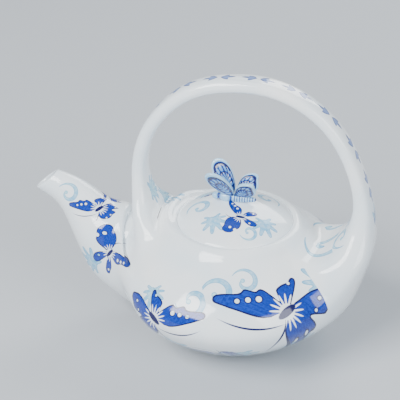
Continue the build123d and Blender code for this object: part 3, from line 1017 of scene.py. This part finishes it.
def biscuit(name):
    """Bare fired porcelain where the glaze was wiped off: matt, a little warm and finely gritty."""
    colours = bpy.context.scene.teapot_colours
    material, tree, shader, where = new_material(name)
    grit = add(tree, "ShaderNodeTexNoise", {}, {"Vector": where, "Scale": 1 / (0.5 * MM), "Detail": 4.0})
    stain = add(tree, "ShaderNodeTexNoise", {}, {"Vector": where, "Scale": 1 / (14 * MM)})
    colour = add(tree, "ShaderNodeMix", {"data_type": "RGBA"}, {0: stain}).node
    colour.inputs["A"].default_value = colours.biscuit
    colour.inputs["B"].default_value = colours.biscuit_worn
    tree.links.new(colour.outputs["Result"], shader.inputs["Base Color"])
    shader.inputs["Roughness"].default_value = 0.75
    bump = add(tree, "ShaderNodeBump", {}, {"Strength": 0.35, "Distance": 0.1 * MM, "Height": grit})
    tree.links.new(bump, shader.inputs["Normal"])
    return material


def painted_groups():
    """The motifs' node groups, made once and shared by every painted piece."""
    names = {"large": "painted_butterfly", "small": "painted_small_butterfly",
             "spray": "painted_spray", "scroll": "painted_scroll"}
    if names["large"] not in bpy.data.node_groups:
        butterfly_group(names["large"], BUTTERFLY, BUTTERFLY_DOTS, BUTTERFLY_ANTENNAE, 24.0)
        butterfly_group(names["small"], SMALL_BUTTERFLY, SMALL_DOTS, SMALL_ANTENNAE, 16.0)
        spray_group()
        scroll_group()
    return {kind: bpy.data.node_groups[name] for kind, name in names.items()}


def bowl_stamps(places):
    """Stamps from places given by azimuth and height on the bowl."""
    stamps = []
    for kind, azimuth, height, size, turn, mirrored in places:
        centre, axes = on_surface(azimuth, height, turn)
        stamps.append((kind, centre, axes, size, mirrored))
    return stamps


def free_stamps(places):
    """Stamps from places given by a centre, the way the motif faces and the way its top points."""
    stamps = []
    for kind, centre, facing, top, size, mirrored in places:
        normal = Vector(facing).normalized()
        along = Vector(top).cross(normal).normalized()
        stamps.append((kind, Vector(centre), (along, normal.cross(along), normal), size, mirrored))
    return stamps


# ---- Knob: wing outlines in the wing's own plane, from the insect's middle, in millimetres ----
INSECT_Z = 99.0
FOREWING = [
    (-1.5, 1.0), (-6.5, 3.4), (-12.0, 7.6), (-16.4, 13.0), (-18.6, 18.6), (-17.6, 22.8), (-13.6, 24.6),
    (-9.6, 23.4), (-6.4, 21.0), (-3.4, 16.4), (-1.0, 10.6), (-0.2, 5.0),
]
HINDWING = [
    (0.6, 1.0), (5.6, 2.4), (10.6, 3.8), (14.0, 6.2), (14.8, 9.8), (13.6, 13.2), (14.2, 16.0),
    (11.2, 17.6), (6.8, 16.6), (3.4, 14.6), (1.4, 10.6), (0.2, 5.4),
]
FOREWING_ROOT = (-2.4, 4.2)
HINDWING_ROOT = (2.0, 4.2)
# Rings of a wing from its root to its edge: share of the way, height of the surface, glaze relief
WING_RINGS = [
    (0.12, 0.9, 0.3), (0.3, 0.8, 0.0), (0.56, 0.8, 0.0), (0.8, 0.75, 0.0), (0.86, 0.7, 0.0),
    (0.92, 1.15, 1.0), (0.97, 1.1, 1.0), (1.0, 0.55, 0.9),
]
CELL_RINGS = 3  # bands of raised cells
CELL_GROOVE = 0.42
CELL_RISE = 0.4
CELL_GLAZE = 0.62
# Head and thorax from the front: place along X, radius, glaze relief
HEAD = [
    (-15.4, 0.0, 0.6), (-15.0, 1.5, 0.8), (-13.6, 2.5, 0.9), (-12.0, 2.5, 0.9), (-10.6, 1.6, 0.1),
    (-9.4, 2.6, 0.8), (-6.5, 3.4, 0.9), (-3.5, 3.3, 0.8), (-2.2, 2.6, 0.1),
]
ABDOMEN_START = -1.6
ABDOMEN_END = 13.4
ABDOMEN_R = 3.2
ABDOMEN_NARROWING = 1.9
ABDOMEN_RIBS = 9
RIB_HEIGHT = 0.55
BODY_STEPS = 20


def wing_mesh(outline, root):
    """One wing, both faces, in its own plane: raised cells between grooves inside a raised rim."""
    bm = bmesh.new()
    relief = bm.verts.layers.float.new("relief")
    for way in (1, -1):
        rings = []
        for share, height, glaze in WING_RINGS:
            ring = []
            for x, y in outline:
                vert = bm.verts.new((root[0] + (x - root[0]) * share, root[1] + (y - root[1]) * share,
                                     height * way))
                vert[relief] = glaze
                ring.append(vert)
            rings.append(ring)
        loops = [[bm.edges.new(pair) for pair in zip(ring, ring[1:] + ring[:1])] for ring in rings]
        cells = []
        for index, (inner, outer) in enumerate(zip(loops, loops[1:])):
            made = bmesh.ops.bridge_loops(bm, edges=inner + outer)["faces"]
            if index < CELL_RINGS:
                cells += made
        bmesh.ops.contextual_create(bm, geom=loops[0])
        bmesh.ops.recalc_face_normals(bm, faces=bm.faces)
        before = set(bm.verts)
        bmesh.ops.inset_individual(bm, faces=cells, thickness=CELL_GROOVE, depth=0.0)
        for vert in set(bm.verts) - before:
            vert[relief] = CELL_GLAZE
            vert.co.z += CELL_RISE * way
    rims = open_edges(bm)
    bmesh.ops.bridge_loops(bm, edges=[e for loop in rims for e in loop])
    bmesh.ops.recalc_face_normals(bm, faces=bm.faces)
    return bm


def insect_body():
    """Head, thorax and ribbed abdomen along X, spun round their own axis."""
    bm = bmesh.new()
    relief = bm.verts.layers.float.new("relief")
    step = (ABDOMEN_END - ABDOMEN_START) / ABDOMEN_RIBS
    ribs = []
    for rib in range(ABDOMEN_RIBS):
        x = ABDOMEN_START + rib * step
        radius = ABDOMEN_R - ABDOMEN_NARROWING * (rib / ABDOMEN_RIBS) ** 1.6
        ribs += [(x + 0.3 * step, radius, 1.0), (x + 0.7 * step, radius, 1.0)]
        ribs.append((x + step, radius - RIB_HEIGHT, 0.05))
    profile = HEAD + ribs + [(ABDOMEN_END + 0.6, 0.0, 0.5)]
    verts = []
    for x, radius, glaze in profile:
        vert = bm.verts.new((x, 0, INSECT_Z + radius))
        vert[relief] = glaze
        verts.append(vert)
    edges = [bm.edges.new(pair) for pair in zip(verts, verts[1:])]
    bmesh.ops.spin(bm, geom=verts + edges, cent=(0, 0, INSECT_Z), axis=(1, 0, 0), angle=2 * pi,
                   steps=BODY_STEPS, use_merge=True)
    bmesh.ops.remove_doubles(bm, verts=bm.verts, dist=0.001)
    bmesh.ops.recalc_face_normals(bm, faces=bm.faces)
    return bm


def add_smoothing(piece, levels):
    """Gives a piece a live subdivision."""
    modifier = piece.modifiers.new("Smooth", "SUBSURF")
    modifier.levels = modifier.render_levels = levels


class TeapotSizes(PropertyGroup):
    wing_lean: FloatProperty(
        name="Wing lean", description="How far each pair of the knob's wings leans out of the vertical",
        default=radians(27.0), unit="ROTATION",
    )
    lid_edge: FloatProperty(
        name="Lid edge", description="Rounding of the lid's rim", default=0.6 * MM, unit="LENGTH",
    )
    floor_size: FloatProperty(
        name="Floor size", description="Side of the studio floor", default=6.0, unit="LENGTH",
    )


def colour_property(name, description, code):
    """A colour that a user can change, given as sRGB hex."""
    return FloatVectorProperty(name=name, description=description, subtype="COLOR", size=4,
                               min=0.0, max=1.0, default=linear(code))


class TeapotColours(PropertyGroup):
    glaze: colour_property("Glaze", "Clear glaze over white porcelain", "F6FAFC")
    glaze_pooled: colour_property("Pooled glaze", "The same glaze where it is thick", "E4F1FA")
    cobalt: colour_property("Cobalt", "Cobalt laid on with a full brush", "022488")
    cobalt_thin: colour_property("Thin cobalt", "Cobalt where the brush ran dry", "0A3EB0")
    navy: colour_property("Navy line", "Cobalt drawn with a liner brush", "06094E")
    aqua: colour_property("Aqua wash", "Thin wash behind the butterflies", "94D8E6")
    aqua_deep: colour_property("Deep aqua", "The wash where it pooled", "64B0DA")
    aqua_line: colour_property("Aqua line", "Outline of the washed leaves", "4E94C0")
    band: colour_property("Band blue", "Leaves along the hoop", "4C86C4")
    knob: colour_property("Knob blue", "Pale blue glaze of the butterfly", "3C82C8")
    # Pale glaze where it breaks on an edge; on the knob's rims and ribs it is also a painted highlight
    knob_pale_and_highlight: colour_property("Knob pale", "The same glaze where it breaks on an edge", "A4D0EE")
    biscuit: colour_property("Biscuit", "Bare fired porcelain of the foot", "EDE6DA")
    biscuit_worn: colour_property("Worn biscuit", "The foot where it has stood", "D8CEC0")
    floor: colour_property("Floor", "Studio floor", "B8BDC3")


class TEAPOT_OT_pot(Operator):
    """Makes the glazed bowl, collar, spout and hoop handle as one smooth surface cut into four pieces"""

    bl_idname = "teapot.pot"
    bl_label = "Pot, spout and hoop"

    def execute(self, context):
        groups = painted_groups()
        cobalt = bowl_stamps(COBALT_ON_BOWL)
        cobalt_low = free_stamps(COBALT_ON_SPOUT)
        aqua = bowl_stamps(AQUA_ON_BOWL)
        aqua_low = free_stamps(AQUA_ON_SPOUT)
        foot_marks = free_stamps(AQUA_ON_HOOP)
        glazes = {
            BOWL: painted_glaze("cobalt_painted_porcelain_bowl", groups, cobalt + cobalt_low[1:],
                                aqua + aqua_low + foot_marks),
            COLLAR: painted_glaze("glazed_porcelain_collar", groups, [], aqua[:4] + foot_marks),
            SPOUT_SKIN: painted_glaze("cobalt_painted_porcelain_spout", groups, cobalt_low, aqua_low),
            HOOP_SKIN: painted_glaze("cobalt_painted_porcelain_hoop", groups, [],
                                     foot_marks + aqua[5:7], hoop_band),
        }
        plain = painted_glaze("clear_glazed_porcelain", {}, [], [])
        surface = pot_surface()
        seam = seam_normals(surface)
        for limb, (name, node) in LIMB_PIECES.items():
            bm = bmesh.new()
            bm.from_mesh(surface)
            limb_layer = bm.faces.layers.int["limb"]
            others = [f for f in bm.faces if f[limb_layer] != limb]
            bmesh.ops.delete(bm, geom=others, context="FACES")
            close_piece(bm, limb)
            if open_edges(bm):
                raise RuntimeError(f"{name} did not close")
            bmesh.ops.recalc_face_normals(bm, faces=bm.faces)
            for face in bm.faces:
                middle = face.calc_center_median()
                if limb == BOWL and Vector(middle.xy).length < bowl_radius(middle.z) - UNPAINTED_DEPTH:
                    face.material_index = 1
            piece = new_piece(name, bm, "pot", [glazes[limb], plain], (node,))
            keep_seams_smooth(piece, seam)
        bpy.data.meshes.remove(surface)
        return {"FINISHED"}


class TEAPOT_OT_foot(Operator):
    """Makes the turned foot ring, bare biscuit all over, and glazes the strainer"""

    bl_idname = "teapot.foot"
    bl_label = "Foot ring and strainer"

    def execute(self, context):
        inner = FOOT_R - FOOT_WIDTH
        top = FOOT_Z + FOOT_TUCK
        profile = [(FOOT_R, top), (FOOT_R - FOOT_TAPER, 0.0), (inner + FOOT_TAPER, 0.0), (inner, top)]
        bm = turned(profile, TURNED_STEPS, closed=True)
        soften_edges(bm, FOOT_EDGE)
        new_piece("turned_foot_ring", bm, "pot", [biscuit("biscuit_porcelain_foot")],
                  ("foot_ring",))
        plain = bpy.data.materials["clear_glazed_porcelain"]
        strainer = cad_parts["strainer"]
        strainer.data.materials.clear()
        strainer.data.materials.append(plain)
        return {"FINISHED"}


class TEAPOT_OT_lid(Operator):
    """Makes the lid's dome with its rounded rim, and the flange that keeps it in the mouth"""

    bl_idname = "teapot.lid"
    bl_label = "Lid"

    def execute(self, context):
        sizes = context.scene.teapot_sizes
        groups = painted_groups()
        glaze = painted_glaze("cobalt_painted_porcelain_lid", groups, free_stamps(COBALT_ON_LID),
                              free_stamps(AQUA_ON_LID))
        profile = [(radius, LID_TOP - drop) for radius, drop in LID_OUTSIDE]
        profile += [(LID_R, LID_REST), (FLANGE_R - FLANGE_THICK, LID_REST)]
        profile += [(radius, LID_TOP - drop) for radius, drop in LID_INSIDE]
        bm = turned(profile, TURNED_STEPS, closed=False)
        soften_edges(bm, sizes.lid_edge / MM)
        dome = new_piece("glazed_lid_dome", bm, "lid", [glaze], ("lid_dome",))
        add_smoothing(dome, 1)

        inner = FLANGE_R - FLANGE_THICK
        ring = [(FLANGE_R, LID_REST), (FLANGE_R, FLANGE_Z), (inner, FLANGE_Z), (inner, LID_REST)]
        bm = turned(ring, TURNED_STEPS, closed=True)
        soften_edges(bm, FLANGE_EDGE)
        plain = bpy.data.materials["clear_glazed_porcelain"]
        new_piece("glazed_lid_flange", bm, "lid", [plain], ("lid_flange",))
        return {"FINISHED"}


class TEAPOT_OT_knob(Operator):
    """Makes the butterfly knob: a ribbed body and four wings with raised cells, leaned out in pairs"""

    bl_idname = "teapot.knob"
    bl_label = "Butterfly knob"

    def execute(self, context):
        glaze = relief_glaze("blue_glazed_press_moulded_porcelain")
        body = new_piece("knob_body", insect_body(), "lid", [glaze], ("butterfly_body",))
        add_smoothing(body, 1)
        lean = context.scene.teapot_sizes.wing_lean
        for side, way in (("front", 1), ("back", -1)):
            for wing, outline, root in (("forewing", FOREWING, FOREWING_ROOT),
                                        ("hindwing", HINDWING, HINDWING_ROOT)):
                bm = wing_mesh(outline, root)
                stand = Matrix.Rotation(pi / 2 + way * lean, 4, "X")
                stand.translation = (0, 0, INSECT_Z)
                bmesh.ops.transform(bm, matrix=stand, verts=bm.verts)
                bmesh.ops.recalc_face_normals(bm, faces=bm.faces)
                piece = new_piece(f"knob_{wing}_{side}", bm, "lid", [glaze],
                                  (f"{wing}_{side}",))
                add_smoothing(piece, 2)
        return {"FINISHED"}


class TEAPOT_OT_stage(Operator):
    """Makes the pale floor, soft studio light and the camera"""

    bl_idname = "teapot.stage"
    bl_label = "Studio"

    def execute(self, context):
        scene = context.scene
        bm = bmesh.new()
        bmesh.ops.create_grid(bm, x_segments=8, y_segments=8, size=scene.teapot_sizes.floor_size / 2)
        mesh = bpy.data.meshes.new("floor")
        bm.to_mesh(mesh)
        bm.free()
        floor = bpy.data.objects.new("floor", mesh)
        scene.collection.objects.link(floor)
        matt = bpy.data.materials.new("matt_paper_backdrop")
        matt.use_nodes = True
        shader = matt.node_tree.nodes["Principled BSDF"]
        shader.inputs["Base Color"].default_value = scene.teapot_colours.floor
        shader.inputs["Roughness"].default_value = 0.9
        mesh.materials.append(matt)

        for name, place, size, power, tint in LIGHTS:
            light = bpy.data.lights.new(name, "AREA")
            light.energy = power
            light.size = size
            light.color = tint
            lamp = bpy.data.objects.new(name, light)
            scene.collection.objects.link(lamp)
            lamp.location = place
            aim = Vector((0, 0, 0.07)) - Vector(place)
            lamp.rotation_euler = aim.to_track_quat("-Z", "Y").to_euler()
        world = bpy.data.worlds.new("studio")
        scene.world = world
        world.use_nodes = True
        world.node_tree.nodes["Background"].inputs["Color"].default_value = linear("E4EAF0")
        world.node_tree.nodes["Background"].inputs["Strength"].default_value = WORLD_STRENGTH

        camera = bpy.data.cameras.new("camera")
        camera.lens = CAMERA_LENS
        viewer = bpy.data.objects.new("camera", camera)
        scene.collection.objects.link(viewer)
        across = Vector((cos(CAMERA_TURN), sin(CAMERA_TURN), 0))
        back = Vector((sin(CAMERA_TURN) * cos(CAMERA_RISE), -cos(CAMERA_TURN) * cos(CAMERA_RISE),
                       sin(CAMERA_RISE)))
        up = back.cross(across)
        rim = Vector((0, 0, RIM_Z))
        place = rim - across * CAMERA_ASIDE + up * CAMERA_ABOVE + back * CAMERA_AWAY
        viewer.matrix_world = (Matrix.Translation(place * MM)
                               @ Matrix((across, up, back)).transposed().to_4x4())
        scene.camera = viewer
        return {"FINISHED"}


class TEAPOT_PT_panel(Panel):
    """Lists the teapot's sizes, colours and makers"""

    bl_label = "Teapot"
    bl_space_type = "VIEW_3D"
    bl_region_type = "UI"
    bl_category = "Teapot"

    def draw(self, context):
        column = self.layout.column()
        for group in (context.scene.teapot_sizes, context.scene.teapot_colours):
            for name in type(group).__annotations__:
                column.prop(group, name)
        for maker in MAKERS:
            column.operator(maker.bl_idname)


MAKERS = (TEAPOT_OT_pot, TEAPOT_OT_foot, TEAPOT_OT_lid, TEAPOT_OT_knob, TEAPOT_OT_stage)
CLASSES = (TeapotSizes, TeapotColours, *MAKERS, TEAPOT_PT_panel)


def register():
    for cls in CLASSES:
        bpy.utils.register_class(cls)
    bpy.types.Scene.teapot_sizes = PointerProperty(type=TeapotSizes)
    bpy.types.Scene.teapot_colours = PointerProperty(type=TeapotColours)


def unregister():
    del bpy.types.Scene.teapot_colours
    del bpy.types.Scene.teapot_sizes
    for cls in reversed(CLASSES):
        bpy.utils.unregister_class(cls)


def main():
    register()
    bpy.ops.teapot.pot()
    bpy.ops.teapot.foot()
    bpy.ops.teapot.lid()
    bpy.ops.teapot.knob()
    bpy.ops.teapot.stage()


if __name__ == "__main__":
    main()
